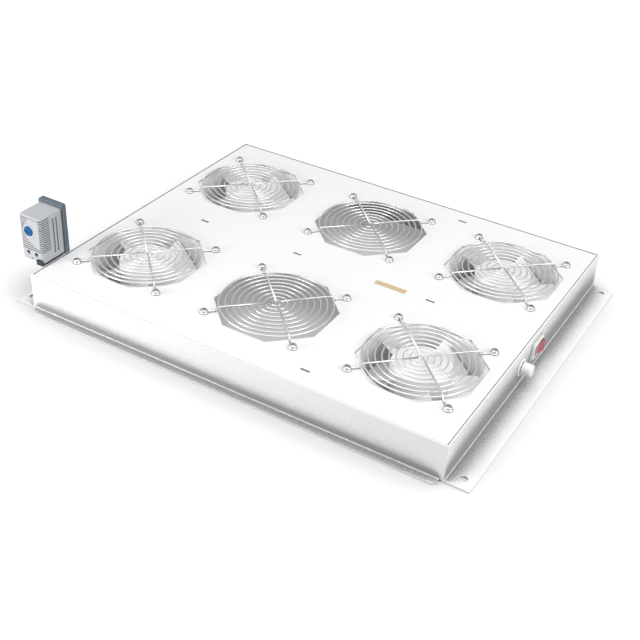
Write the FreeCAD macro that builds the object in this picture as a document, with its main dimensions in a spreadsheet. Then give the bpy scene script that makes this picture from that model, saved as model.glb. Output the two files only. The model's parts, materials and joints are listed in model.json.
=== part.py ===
import FreeCAD, Part
import math
import os
from types import SimpleNamespace

import Sketcher
from FreeCAD import Placement, Rotation, Vector

# Rack roof fan tray: a folded steel tray that closes the roof of a cabinet, with four axial fans
# under six octagonal holes, a wire guard over each hole, a rocker switch and a fuse holder in the
# right wall, and a thermostat on a bracket at the front left corner.
# Frame: origin at the centre of the side flanges' underside, +X right, +Y back, +Z up, mm.

SIZES = {
    # folded tray
    "tray_width": 480.0,
    "tray_depth": 395.0,
    "tray_height": 41.0,
    "sheet": 1.5,
    "fold_radius": 1.0,
    "flange_reach": 25.0,
    "lip_reach": 9.0,
    "lip_setback": 4.0,
    "lip_taper": 4.0,
    "flange_hole_width": 7.0,
    "flange_hole_out": 14.0,
    "flange_hole_inset": 13.0,
    "skirt_drop": 6.0,
    "plate_fold": 2.0,
    # field of six holes, from the tray's walls to the middles of the outer columns and rows
    "column_inset": 75.0,
    "row_inset": 98.5,
    "octagon_flats": 120.0,
    "fixing_pitch": 104.8,
    "fixing_hole": 4.5,
    # tie slots in the plate
    "slot_length": 10.0,
    "slot_width": 2.5,
    "slot_row_inset": 22.5,
    "slot_left_inset": 79.0,
    "slot_middle": 37.0,
    "slot_right_inset": 115.0,
    "slot_shift": 1.5,
    # fans
    "fan_side": 119.0,
    "fan_depth": 38.0,
    "fan_flange": 4.5,
    "fan_corner": 5.0,
    "fan_duct": 115.0,
    "fan_barrel_wall": 1.5,
    "strut_width": 7.0,
    "strut_thickness": 4.0,
    "seat_width": 62.0,
    "hub_width": 61.0,
    "hub_height": 30.0,
    "hub_wall": 1.6,
    "hub_top": 2.4,
    "hub_chamfer": 1.0,
    "hub_rise": 6.5,
    "boss_width": 12.0,
    "boss_drop": 4.0,
    "boss_gap": 0.5,
    "end_gap": 0.3,
    "blade_count": 5.0,
    "blade_tip_gap": 1.6,
    "blade_thickness": 1.8,
    "blade_middle": 20.5,
    "blade_root_chord": 21.0,
    "blade_tip_chord": 37.0,
    "blade_slope": 0.66,
    "blade_bow": 0.1,
    "shaft_width": 6.0,
    "bearing_wall": 2.0,
    "bearing_length": 6.0,
    "bearing_play": 0.05,
    "tube_wall": 2.0,
    "tube_floor": 2.0,
    "stator_width": 52.0,
    "stator_height": 16.0,
    "coil_width": 44.0,
    "coil_reach": 4.0,
    "spade_width": 2.8,
    "spade_thickness": 0.5,
    "spade_length": 7.0,
    "spade_pitch": 6.0,
    # wire guards
    "ring_count": 9.0,
    "ring_first": 5.2,
    "ring_pitch": 6.65,
    "ring_wire": 1.6,
    "rod_wire": 1.8,
    "ring_lift": 2.4,
    "eye_width": 9.4,
    "rod_step": 3.0,
    # M4 fasteners
    "screw_width": 4.0,
    "screw_length": 12.0,
    "head_width": 8.0,
    "head_height": 2.6,
    "nut_flats": 7.0,
    "nut_height": 3.2,
    # switch in the right wall
    "switch_y": 12.0,
    "switch_z": 23.5,
    "bezel_length": 28.0,
    "bezel_height": 20.5,
    "bezel_thickness": 2.0,
    "switch_length": 25.0,
    "switch_height": 17.5,
    "switch_depth": 20.0,
    "window_length": 22.0,
    "window_height": 14.0,
    "window_depth": 9.0,
    "rocker_gap": 0.4,
    "rocker_foot": 3.0,
    "rocker_foot_inset": 1.6,
    "rocker_crown_inset": 1.3,
    "rocker_rise": 2.6,
    "rocker_dip": 1.2,
    "rocker_tilt": 10.0,
    "pivot_depth": 1.5,
    "pivot_width": 2.4,
    "pivot_reach": 1.0,
    "pivot_play": 0.06,
    "tab_pitch": 7.5,
    "tab_width": 6.3,
    "tab_thickness": 0.8,
    "tab_length": 8.0,
    # fuse holder in the right wall
    "fuse_y": -27.0,
    "fuse_z": 21.5,
    "fuse_flange": 19.0,
    "fuse_flange_thickness": 1.6,
    "fuse_barrel": 12.0,
    "fuse_floor": 3.0,
    "fuse_bore": 9.0,
    "fuse_cap_width": 13.5,
    "fuse_cap_length": 11.0,
    "fuse_cap_slot": 1.5,
    "fuse_stem": 7.0,
    "fuse_socket": 4.0,
    "turning_gap": 0.3,
    "fuse_width": 5.2,
    "fuse_length": 20.0,
    "fuse_nut_flats": 17.0,
    "fuse_nut_height": 4.0,
    "panel_play": 0.2,
    # thermostat
    "thermo_width": 29.0,
    "thermo_depth": 32.0,
    "thermo_height": 52.0,
    "thermo_front": 20.5,
    "thermo_overlap": 0.5,
    "thermo_corner": 2.0,
    "thermo_edge": 1.0,
    "back_margin": 1.8,
    "back_rise": 4.0,
    "back_thickness": 6.0,
    "rib_count": 15.0,
    "rib_pitch": 2.6,
    "rib_cut": 1.0,
    "rib_depth": 0.7,
    "rib_reach": 13.0,
    "rib_start": 12.6,
    "dial_width": 11.4,
    "dial_height": 2.2,
    "dial_across": 12.4,
    "dial_up": 34.6,
    "dial_shaft": 4.0,
    "dial_shaft_length": 8.0,
    "terminal_up": 8.4,
    "terminal_pitch": 10.9,
    "terminal_hole": 5.0,
    "terminal_hole_depth": 7.0,
    "terminal_screw": 4.2,
    "vent_width": 2.0,
    "vent_height": 40.0,
    "vent_depth": 1.2,
    "vent_start": 18.0,
    "vent_pitch": 4.8,
    "notch_width": 3.5,
    "notch_height": 2.6,
    # bracket that carries the thermostat
    "bracket_sheet": 1.5,
    "bracket_lift": 0.3,
    "bracket_leg": 26.0,
    "bracket_leg_width": 24.0,
    "bracket_hook": 4.0,
    "bracket_setback": 8.0,
    "bracket_hook_gap": 1.0,
    "bracket_upright": 40.0,
    "bracket_upright_width": 24.0,
    "bracket_hole_pitch": 14.0,
    # gland and earth stud in the back wall, from the right wall
    "gland_inset": 50.0,
    "gland_z": 20.0,
    "gland_thread": 15.8,
    "gland_bore": 8.0,
    "gland_flats": 19.0,
    "gland_hex": 5.0,
    "gland_dome": 12.0,
    "gland_dome_width": 17.5,
    "gland_inside": 9.0,
    "locknut_height": 4.5,
    "stud_inset": 90.0,
    "stud_length": 14.0,
    "stud_width": 5.0,
    "stud_nut_flats": 8.0,
    "stud_nut_height": 4.0,
    # bare label strip on the plate, beside the middle between two columns
    "label_shift": 4.0,
    "label_length": 36.0,
    "label_width": 7.0,
    "label_thickness": 0.3,
}

FANS = {"front_left": (-1, -1), "front_right": (1, -1), "back_left": (-1, 1), "back_right": (1, 1)}
HOLES = dict(FANS, front_middle=(0, -1), back_middle=(0, 1))
CORNERS = ((-1, -1), (1, -1), (1, 1), (-1, 1))
# Round forms that repeat have flat sides, so that the whole tray stays light to mesh.
DUCT_SIDES = 20
TURNED_SIDES = 12
BOLT_SIDES = 6
RING_SIDES = 12
INNER_RING_SIDES = 8
EYE_SIDES = 6
CHORD_STEPS = (-0.5, -0.25, 0.0, 0.25, 0.5)

doc = FreeCAD.newDocument("fan_tray")
sheet = doc.addObject("Spreadsheet::Sheet", "sizes")
for row, (name, number) in enumerate(SIZES.items(), start=1):
    sheet.set(f"A{row}", name)
    sheet.set(f"B{row}", str(number))
    sheet.setAlias(f"B{row}", name)
doc.recompute()


class Dim:
    """A size that carries its value in mm and the sheet expression that gives it."""

    def __init__(self, value, text):
        self.value = float(value)
        self.text = text

    def joined(self, other, sign, value):
        return Dim(value, f"({self.text} {sign} {other.text})")

    def __add__(self, other):
        other = as_dim(other)
        return self.joined(other, "+", self.value + other.value)

    def __sub__(self, other):
        other = as_dim(other)
        return self.joined(other, "-", self.value - other.value)

    def __mul__(self, other):
        other = as_dim(other)
        return self.joined(other, "*", self.value * other.value)

    def __truediv__(self, other):
        other = as_dim(other)
        return self.joined(other, "/", self.value / other.value)

    def __radd__(self, other):
        return as_dim(other) + self

    def __rsub__(self, other):
        return as_dim(other) - self

    def __rmul__(self, other):
        return as_dim(other) * self

    def __neg__(self):
        return as_dim(0) - self


def as_dim(size):
    """Plain numbers become sizes, so that both can be mixed in a sum."""
    return size if isinstance(size, Dim) else Dim(size, f"{float(size):.9g}")


def inscribed(sides, width):
    """The size across flats of a polygon whose corners lie on a circle of that width."""
    return as_dim(width) * math.cos(math.pi / sides)


s = SimpleNamespace(**{name: Dim(number, f"sizes.{name}") for name, number in SIZES.items()})

half_width = s.tray_width / 2
half_depth = s.tray_depth / 2
column_pitch = half_width - s.column_inset
row_reach = half_depth - s.row_inset
plate_under = s.tray_height - s.sheet
fan_base = plate_under - s.fan_depth
fix_half = s.fixing_pitch / 2
duct_radius = s.fan_duct / 2
shaft_flats = inscribed(TURNED_SIDES, s.shaft_width)
bearing_bore = s.shaft_width + s.bearing_play * 2
bearing_flats = bearing_bore + s.bearing_wall * 2
tube_flats = bearing_flats + s.tube_wall * 2
hub_flats = inscribed(DUCT_SIDES, s.hub_width)
hub_crown = s.hub_rise + s.hub_height
hub_ceiling = hub_crown - s.hub_top
tube_top = hub_ceiling - s.boss_drop - s.boss_gap
gland_x = half_width - s.gland_inset
stud_x = half_width - s.stud_inset
gland_thread_flats = inscribed(TURNED_SIDES, s.gland_thread)
stud_flats = inscribed(BOLT_SIDES, s.stud_width)
fuse_barrel_flats = inscribed(TURNED_SIDES, s.fuse_barrel)
screw_flats = inscribed(BOLT_SIDES, s.screw_width)
thermo_right = -half_width - s.thermo_overlap
thermo_x = thermo_right - s.thermo_width / 2
thermo_y = -half_depth + s.thermo_front
thermo_z = s.tray_height + s.bracket_lift + s.bracket_sheet
bracket_y = thermo_y + s.thermo_depth / 2
bracket_hole_z = s.tray_height - s.bracket_leg / 2 - s.bracket_sheet
stem_end = s.fuse_flange_thickness + s.turning_gap - s.fuse_stem
fuse_top = stem_end + s.fuse_socket - s.turning_gap
fuse_bottom = fuse_top - s.fuse_length


# sketches and features
def new_body(label):
    body = doc.addObject("PartDesign::Body", label)
    body.Label = label
    return body


def new_sketch(body, name, role="XY_Plane", lift=None):
    """A sketch on one of the body's own origin planes, lifted along that plane's normal."""
    sketch = body.newObject("Sketcher::SketchObject", f"{body.Name}_{name}")
    plane = next(item for item in body.Origin.OriginFeatures if item.Role == role)
    sketch.AttachmentSupport = [(plane, "")]
    sketch.MapMode = "FlatFace"
    if lift is not None:
        lift = as_dim(lift)
        sketch.AttachmentOffset = Placement(Vector(0, 0, lift.value), Rotation())
        sketch.setExpression("AttachmentOffset.Base.z", lift.text)
    return sketch


def bind(sketch, constraints):
    """Add pairs of a constraint and its size in one go; a size of None leaves it unbound."""
    first = sketch.ConstraintCount
    sketch.addConstraint([constraint for constraint, _ in constraints])
    for index, (_, size) in enumerate(constraints, start=first):
        if size is not None:
            sketch.setExpression(f"Constraints[{index}]", size.text)


def at_point(geo, pos, x, y):
    """The two constraints that hold a point of the geometry at x and y."""
    x, y = as_dim(x), as_dim(y)
    return [(Sketcher.Constraint("DistanceX", geo, pos, x.value), x),
            (Sketcher.Constraint("DistanceY", geo, pos, y.value), y)]


def outline(sketch, corners):
    """A closed chain of straight edges through the corners."""
    first = sketch.GeometryCount
    corners = [(as_dim(x), as_dim(y)) for x, y in corners]
    points = [Vector(x.value, y.value, 0) for x, y in corners]
    sketch.addGeometry([Part.LineSegment(start, end) for start, end in zip(points, points[1:] + points[:1])],
                       False)
    constraints = []
    for number, (x, y) in enumerate(corners):
        following = first + (number + 1) % len(corners)
        constraints.append((Sketcher.Constraint("Coincident", first + number, 2, following, 1), None))
        constraints += at_point(first + number, 1, x, y)
    bind(sketch, constraints)


def rectangle(sketch, left, right, low, high):
    outline(sketch, ((left, low), (right, low), (right, high), (left, high)))


def circle(sketch, x, y, radius):
    x, y, radius = as_dim(x), as_dim(y), as_dim(radius)
    shape = Part.Circle(Vector(x.value, y.value, 0), Vector(0, 0, 1), radius.value)
    geo = sketch.addGeometry(shape, False)
    bind(sketch, at_point(geo, 3, x, y) + [(Sketcher.Constraint("Radius", geo, radius.value), radius)])


def polygon(sketch, sides, flats, x=0.0, y=0.0):
    """A regular polygon of that size across flats, with a flat at the right."""
    reach = flats / 2 / math.cos(math.pi / sides)
    turns = [(number + 0.5) * 2 * math.pi / sides for number in range(sides)]
    outline(sketch, [(x + reach * math.cos(turn), y + reach * math.sin(turn)) for turn in turns])


def feature(body, kind, sketch, length, reverse):
    made = body.newObject(f"PartDesign::{kind}", f"{sketch.Name}_{kind.lower()}")
    made.Profile = sketch
    made.Reversed = reverse
    made.setExpression("Length", as_dim(length).text)
    sketch.Visibility = False
    doc.recompute()
    return made


def pad(body, sketch, length, reverse=False):
    return feature(body, "Pad", sketch, length, reverse)


def pocket(body, sketch, length, reverse=False):
    """A cut along the sketch's negative normal, or its normal when reversed."""
    before = body.Shape.Volume
    made = feature(body, "Pocket", sketch, length, reverse)
    if not body.Shape.Volume < before:
        raise ValueError(f"{made.Name} cuts nothing")
    return made


def prism_pad(body, name, sides, flats, low, high):
    """Add a regular prism on the body's Z axis, between two heights."""
    section = new_sketch(body, name, lift=low)
    polygon(section, sides, flats)
    return pad(body, section, high - low)


def prism_cut(body, name, sides, flats, low, high):
    """Cut a regular prism on the body's Z axis, between two heights."""
    section = new_sketch(body, name, lift=low)
    polygon(section, sides, flats)
    return pocket(body, section, high - low, reverse=True)


def origin_axis(body, role):
    return next(item for item in body.Origin.OriginFeatures if item.Role == role), [""]


def polar(body, base, count):
    """Repeat the last feature, or a list of the last ones, round the body's Z axis."""
    bases = base if isinstance(base, list) else [base]
    ring = body.newObject("PartDesign::PolarPattern", f"{bases[-1].Name}_ring")
    ring.Originals = bases
    ring.Axis = origin_axis(body, "Z_Axis")
    ring.Angle = 360.0
    ring.setExpression("Occurrences", as_dim(count).text)
    body.Tip = ring
    doc.recompute()
    return ring


def grid(body, base, steps):
    """Repeat the last feature along axes; a step is an axis role, a whole length and a count."""
    patterns = []
    for number, (role, length, count) in enumerate(steps):
        line = doc.addObject("PartDesign::LinearPattern", f"{base.Name}_line_{number}")
        line.Direction = origin_axis(body, role)
        line.setExpression("Length", as_dim(length).text)
        line.Occurrences = count
        patterns.append(line)
    made = body.newObject("PartDesign::MultiTransform", f"{base.Name}_grid")
    made.Originals = [base]
    made.Transformations = patterns
    body.Tip = made
    doc.recompute()
    return made


def round_edges(body, radius, chosen, kind="Fillet"):
    """Fillet or chamfer the edges of the tip that the test picks by both end points."""
    names = []
    for number, edge in enumerate(body.Shape.Edges, start=1):
        ends = [vertex.Point for vertex in edge.Vertexes]
        if chosen(edge, ends):
            names.append(f"Edge{number}")
    base = body.Tip
    made = body.newObject(f"PartDesign::{kind}", f"{body.Name}_{kind.lower()}")
    made.Base = (base, names)
    made.setExpression("Radius" if kind == "Fillet" else "Size", as_dim(radius).text)
    doc.recompute()
    return made


def chamfer_top(body, level, size):
    """Chamfer all edges that lie at that height."""
    height = as_dim(level).value
    return round_edges(body, size, lambda edge, ends: all(abs(point.z - height) < 0.01 for point in ends),
                       "Chamfer")


def move(body, x=0.0, y=0.0, z=0.0, axis=None, angle=None):
    """Place a body, with its position and turn bound to the sheet."""
    x, y, z = as_dim(x), as_dim(y), as_dim(z)
    turn = Rotation()
    if axis is not None:
        angle = as_dim(angle)
        turn = Rotation(Vector(*axis), angle.value)
    body.Placement = Placement(Vector(x.value, y.value, z.value), turn)
    for name, size in (("x", x), ("y", y), ("z", z)):
        body.setExpression(f"Placement.Base.{name}", size.text)
    if axis is not None:
        body.setExpression("Placement.Rotation.Angle", angle.text)
    return body


def group(label, solids):
    """Identical fasteners in one node, as separate solids."""
    made = doc.addObject("Part::Feature", label)
    made.Shape = Part.makeCompound(solids)
    return made


def prism(sides, flats, low, high, base, axis):
    """A regular prism between two heights along the axis that starts at the base."""
    axis = Vector(*axis)
    side = Vector(1, 0, 0) if abs(axis.z) > 0.5 else Vector(0, 0, 1)
    corner = side * (flats / 2 / math.cos(math.pi / sides))
    start = base + axis * low
    points = [start + Rotation(axis, 360 * (number + 0.5) / sides).multVec(corner) for number in range(sides)]
    return Part.Face(Part.makePolygon(points + points[:1])).extrude(axis * (high - low))


def hole_centre(key):
    column, line = HOLES[key]
    return column_pitch * column, row_reach * line


def fixing_points():
    """The screw positions of all six guards."""
    for key in HOLES:
        x, y = hole_centre(key)
        for side_x, side_y in CORNERS:
            yield x + fix_half * side_x, y + fix_half * side_y


# folded sheet parts
def tray_frame():
    body = new_body("tray_frame")
    walls = new_sketch(body, "walls")
    rectangle(walls, -half_width, half_width, -half_depth, half_depth)
    rectangle(walls, -(half_width - s.sheet), half_width - s.sheet,
              -(half_depth - s.sheet), half_depth - s.sheet)
    pad(body, walls, s.tray_height)

    flanges = new_sketch(body, "flanges")
    for side in (-1, 1):
        inner, outer = (half_width - s.sheet) * side, (half_width + s.flange_reach) * side
        rectangle(flanges, inner, outer, -half_depth, half_depth)
    pad(body, flanges, s.sheet)

    lips = new_sketch(body, "lips")
    near = half_width - s.lip_setback
    far = near - s.lip_taper
    for side in (-1, 1):
        inner, outer = (half_depth - s.sheet) * side, (half_depth + s.lip_reach) * side
        outline(lips, ((-near, inner), (near, inner), (near, (half_depth + s.lip_reach - s.lip_taper) * side),
                       (far, outer), (-far, outer), (-near, (half_depth + s.lip_reach - s.lip_taper) * side)))
    pad(body, lips, s.sheet)

    limit_x, limit_y = SIZES["tray_width"] / 2, SIZES["tray_depth"] / 2
    level = SIZES["sheet"]

    def inside_fold(edge, ends):
        flat = all(abs(point.z - level) < 0.01 for point in ends)
        on_side = all(abs(abs(point.x) - limit_x) < 0.01 for point in ends)
        on_front = all(abs(abs(point.y) - limit_y) < 0.01 for point in ends)
        return flat and edge.Length > limit_y and (on_side or on_front)

    round_edges(body, s.fold_radius, inside_fold, "Chamfer")

    holes = new_sketch(body, "flange_holes")
    for side_x, side_y in CORNERS:
        circle(holes, (half_width + s.flange_hole_out) * side_x,
               (half_depth - s.flange_hole_inset) * side_y, s.flange_hole_width / 2)
    pocket(body, holes, s.sheet * 2, reverse=True)

    right = new_sketch(body, "right_wall_holes", "YZ_Plane", half_width - s.sheet * 2)
    rectangle(right, s.switch_y - s.switch_length / 2 - s.panel_play,
              s.switch_y + s.switch_length / 2 + s.panel_play,
              s.switch_z - s.switch_height / 2 - s.panel_play,
              s.switch_z + s.switch_height / 2 + s.panel_play)
    polygon(right, TURNED_SIDES, s.fuse_barrel + s.panel_play * 2, s.fuse_y, s.fuse_z)
    pocket(body, right, s.sheet * 3, reverse=True)

    left = new_sketch(body, "left_wall_holes", "YZ_Plane", -(half_width - s.sheet * 2))
    for side in (-1, 1):
        polygon(left, BOLT_SIDES, s.fixing_hole, bracket_y + s.bracket_hole_pitch / 2 * side, bracket_hole_z)
    pocket(body, left, s.sheet * 3)

    back = new_sketch(body, "back_wall_hole", "XZ_Plane", -(half_depth - s.sheet * 2))
    polygon(back, TURNED_SIDES, s.gland_thread + s.panel_play * 2, gland_x, s.gland_z)
    pocket(body, back, s.sheet * 3)
    return body


def top_plate():
    """A lid whose skirts stand inside the frame's walls, with the six octagonal holes."""
    body = new_body("top_plate")
    outer_x, outer_y = half_width - s.sheet, half_depth - s.sheet
    blank = new_sketch(body, "blank", lift=plate_under - s.skirt_drop)
    rectangle(blank, -outer_x, outer_x, -outer_y, outer_y)
    pad(body, blank, s.skirt_drop + s.sheet)

    inside = new_sketch(body, "inside", lift=plate_under)
    rectangle(inside, -(outer_x - s.sheet), outer_x - s.sheet, -(outer_y - s.sheet), outer_y - s.sheet)
    pocket(body, inside, s.skirt_drop)

    level = SIZES["tray_height"]
    round_edges(body, s.plate_fold, lambda edge, ends: all(abs(point.z - level) < 0.01 for point in ends))

    columns = ("X_Axis", column_pitch * 2, 3)
    rows = ("Y_Axis", row_reach * 2, 2)
    hole = new_sketch(body, "octagon", lift=s.tray_height)
    polygon(hole, 8, s.octagon_flats, -column_pitch, -row_reach)
    grid(body, pocket(body, hole, s.sheet * 2), (columns, rows))

    fixing = new_sketch(body, "fixing_hole", lift=s.tray_height)
    polygon(fixing, BOLT_SIDES, s.fixing_hole, -column_pitch - fix_half, -row_reach - fix_half)
    pitches = (("X_Axis", s.fixing_pitch, 2), ("Y_Axis", s.fixing_pitch, 2))
    grid(body, pocket(body, fixing, s.sheet * 2), (*pitches, columns, rows))

    slots = new_sketch(body, "tie_slots", lift=s.tray_height)
    between = column_pitch / 2 - s.slot_shift
    near_wall = half_depth - s.slot_row_inset
    for x, y in ((s.slot_left_inset - half_width, 0), (-s.slot_middle, 0), (half_width - s.slot_right_inset, 0),
                 (between, -near_wall), (between, near_wall)):
        rectangle(slots, x - s.slot_length / 2, x + s.slot_length / 2,
                  y - s.slot_width / 2, y + s.slot_width / 2)
    pocket(body, slots, s.sheet * 2)
    return body


# fans
def fan_frame(label):
    """A square die-cast frame: two flanges on a round duct, with a motor seat on four struts."""
    body = new_body(label)
    half, corner = s.fan_side / 2, s.fan_side / 2 - s.fan_corner
    block = new_sketch(body, "block")
    outline(block, ((half, -corner), (half, corner), (corner, half), (-corner, half),
                    (-half, corner), (-half, -corner), (-corner, -half), (corner, -half)))
    pad(body, block, s.fan_depth)

    waist = new_sketch(body, "waist", lift=s.fan_flange)
    rectangle(waist, -half - 1, half + 1, -half - 1, half + 1)
    polygon(waist, DUCT_SIDES, s.fan_duct + s.fan_barrel_wall * 2)
    pocket(body, waist, s.fan_depth - s.fan_flange * 2, reverse=True)
    prism_cut(body, "duct", DUCT_SIDES, s.fan_duct, as_dim(0), s.fan_depth)

    fixing = new_sketch(body, "fixing_hole")
    polygon(fixing, BOLT_SIDES, s.fixing_hole, fix_half, fix_half)
    polar(body, pocket(body, fixing, s.fan_depth, reverse=True), len(CORNERS))

    struts = new_sketch(body, "struts")
    arm, reach = s.strut_width / 2, duct_radius + s.fan_barrel_wall / 2
    outline(struts, ((arm, arm), (arm, reach), (-arm, reach), (-arm, arm), (-reach, arm), (-reach, -arm),
                     (-arm, -arm), (-arm, -reach), (arm, -reach), (arm, -arm), (reach, -arm), (reach, arm)))
    pad(body, struts, s.strut_thickness)
    prism_pad(body, "seat", TURNED_SIDES, s.seat_width, as_dim(0), s.strut_thickness)
    prism_pad(body, "tube", TURNED_SIDES, tube_flats, as_dim(0), tube_top)
    prism_cut(body, "bore", TURNED_SIDES, bearing_flats, s.tube_floor, tube_top)
    return body


def fan_rotor(label):
    """A cup-shaped hub with bowed blades, trimmed to a running gap in the duct."""
    body = new_body(label)
    prism_pad(body, "core", DUCT_SIDES, hub_flats - s.hub_wall * 2, s.hub_rise, hub_crown)

    # each blade is a strip of the tip's chord that narrows towards the hub
    station = hub_flats / 2 - s.hub_wall * 1.5
    chord = s.blade_tip_chord
    under = []
    for step in CHORD_STEPS:
        bow = s.blade_bow * (1 - 4 * step * step)
        under.append((chord * (step + s.blade_slope * bow), s.blade_middle + chord * (s.blade_slope * step - bow)))
    strip = new_sketch(body, "strip", "YZ_Plane", station)
    outline(strip, under + [(along, up + s.blade_thickness) for along, up in reversed(under)])
    blade = pad(body, strip, duct_radius - station)
    taper = new_sketch(body, "taper")
    for side in (-1, 1):
        outline(taper, ((station - 1, s.blade_root_chord / 2 * side), (duct_radius, chord / 2 * side),
                        (duct_radius, (chord / 2 + 1) * side), (station - 1, (chord / 2 + 1) * side)))
    polar(body, [blade, pocket(body, taper, s.fan_depth, reverse=True)], s.blade_count)

    trim = new_sketch(body, "trim")
    rectangle(trim, -s.fan_side, s.fan_side, -s.fan_side, s.fan_side)
    polygon(trim, DUCT_SIDES, inscribed(DUCT_SIDES, s.fan_duct - s.blade_tip_gap * 2))
    pocket(body, trim, s.fan_depth, reverse=True)

    prism_pad(body, "hub", DUCT_SIDES, hub_flats, s.hub_rise, hub_crown)
    chamfer_top(body, hub_crown, s.hub_chamfer)
    boss_low = hub_ceiling - s.boss_drop
    prism_cut(body, "cup", DUCT_SIDES, hub_flats - s.hub_wall * 2, s.hub_rise, hub_ceiling)
    prism_pad(body, "boss", TURNED_SIDES, s.boss_width, boss_low, hub_ceiling)
    prism_cut(body, "socket", TURNED_SIDES, shaft_flats, boss_low, hub_crown - s.hub_top / 2)
    return body


def fan_shaft(label):
    body = new_body(label)
    prism_pad(body, "section", TURNED_SIDES, shaft_flats, s.tube_floor + s.end_gap,
              hub_crown - s.hub_top / 2 - s.end_gap)
    return body


def fan_stator(label):
    """A laminated core with its coil heads above and below, on the bearing tube."""
    body = new_body(label)
    low = s.strut_thickness
    high = low + s.coil_reach * 2 + s.stator_height
    prism_pad(body, "coils", TURNED_SIDES, s.coil_width, low, high)
    prism_pad(body, "core", TURNED_SIDES, s.stator_width, low + s.coil_reach, high - s.coil_reach)
    prism_cut(body, "bore", TURNED_SIDES, tube_flats, low, high)
    return body


def fan_bearings(x, y):
    """Two sleeve bearings in the tube, as separate solids."""
    base, up = Vector(x.value, y.value, fan_base.value), (0, 0, 1)
    rings = []
    for low in (s.tube_floor + s.tube_wall, tube_top - s.bearing_length):
        low, high = low.value, (low + s.bearing_length).value
        sleeve = prism(TURNED_SIDES, bearing_flats.value, low, high, base, up)
        rings.append(sleeve.cut(prism(TURNED_SIDES, bearing_bore.value, low, high, base, up)))
    return rings


def fan_spades(x, y):
    """Two spade terminals that stand on the lower flange, beside a corner hole."""
    width, thickness, length = SIZES["spade_width"], SIZES["spade_thickness"], SIZES["spade_length"]
    left = (x + fix_half - s.spade_pitch).value - width / 2
    blades = []
    for side in (-1, 1):
        front = (y + fix_half + s.spade_pitch / 2 * side).value - thickness / 2
        corner = Vector(left, front, (fan_base + s.fan_flange).value)
        blades.append(Part.makeBox(width, thickness, length, corner))
    return blades


# wire guards
def regular_wire(sides, radius, centre):
    """A closed regular polygon; the radius is the one over its corners."""
    turns = [2 * math.pi * number / sides for number in range(sides)]
    points = [centre + Vector(math.cos(turn), math.sin(turn), 0) * radius for turn in turns]
    return Part.makePolygon(points + points[:1])


def flat_ring(sides, outer, inner, height, centre):
    """A ring of straight pieces that stands on the level of its centre."""
    rim = Part.Face(regular_wire(sides, outer, centre))
    inside = Part.Face(regular_wire(sides, inner, centre))
    return rim.cut(inside).extrude(Vector(0, 0, height))


def guard_shape():
    """Two crossed rods whose ends step down to eyes on the plate, with rings welded under them."""
    wire, rod, lift = SIZES["ring_wire"], SIZES["rod_wire"], SIZES["ring_lift"]
    eye_out = SIZES["fixing_pitch"] / math.sqrt(2)
    last_ring = SIZES["ring_first"] + SIZES["ring_pitch"] * (SIZES["ring_count"] - 1) + wire
    foot = eye_out - SIZES["eye_width"] / 2 + wire
    bend, under = last_ring + SIZES["rod_step"], lift + wire
    half = ((foot, rod), (bend, rod), (last_ring, under + rod))
    lower_half = ((last_ring - rod / 2, under), (bend - rod / 2, 0), (foot, 0))
    profile = (*half, *((-x, z) for x, z in reversed(half)),
               *((-x, z) for x, z in reversed(lower_half)), *lower_half)
    points = [Vector(x, rod / 2, z) for x, z in profile]
    along = Part.Face(Part.makePolygon(points + points[:1])).extrude(Vector(0, -rod, 0))
    across = along.copy()
    across.rotate(Vector(), Vector(0, 0, 1), 90)
    pieces = [across]
    eye_hole = SIZES["fixing_hole"] / 2 / math.cos(math.pi / EYE_SIDES)
    for x, y in ((eye_out, 0), (0, eye_out), (-eye_out, 0), (0, -eye_out)):
        pieces.append(flat_ring(EYE_SIDES, SIZES["eye_width"] / 2, eye_hole, rod, Vector(x, y, 0)))
    for number in range(int(SIZES["ring_count"])):
        radius = SIZES["ring_first"] + SIZES["ring_pitch"] * number
        sides = RING_SIDES if number > 3 else INNER_RING_SIDES
        even = 2 / (1 + math.cos(math.pi / sides))
        pieces.append(flat_ring(sides, (radius + wire / 2) * even, (radius - wire / 2) * even, wire,
                                Vector(0, 0, lift)))
    return along.fuse(pieces).removeSplitter()


# fasteners
def pan_screw(seat, axis, length):
    """A pan-head screw whose head rests at that point and whose shank runs against the axis."""
    rise = SIZES["head_height"]
    shank = prism(BOLT_SIDES, screw_flats.value, -length, 0, seat, axis)
    head = prism(BOLT_SIDES, SIZES["head_width"], 0, rise, seat, axis)
    crown = [edge for edge in head.Edges
             if all(abs((vertex.Point - seat).dot(Vector(*axis)) - rise) < 0.01 for vertex in edge.Vertexes)]
    return shank.fuse(head.makeChamfer(rise / 2, crown))


def hex_nut(seat, axis):
    """An M4 hexagon nut whose far face rests at that point and which stands along the axis."""
    height = SIZES["nut_height"]
    block = prism(6, SIZES["nut_flats"], 0, height, seat, axis)
    return block.cut(prism(BOLT_SIDES, screw_flats.value, 0, height, seat, axis))


def guard_screws():
    level = (s.tray_height + s.rod_wire).value
    return [pan_screw(Vector(x.value, y.value, level), (0, 0, 1), SIZES["screw_length"])
            for x, y in fixing_points()]


def guard_nuts():
    nuts = []
    for key in HOLES:
        x, y = hole_centre(key)
        under = plate_under - s.fan_flange if key in FANS else plate_under
        for side_x, side_y in CORNERS:
            seat = Vector((x + fix_half * side_x).value, (y + fix_half * side_y).value, under.value)
            nuts.append(hex_nut(seat, (0, 0, -1)))
    return nuts


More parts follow.
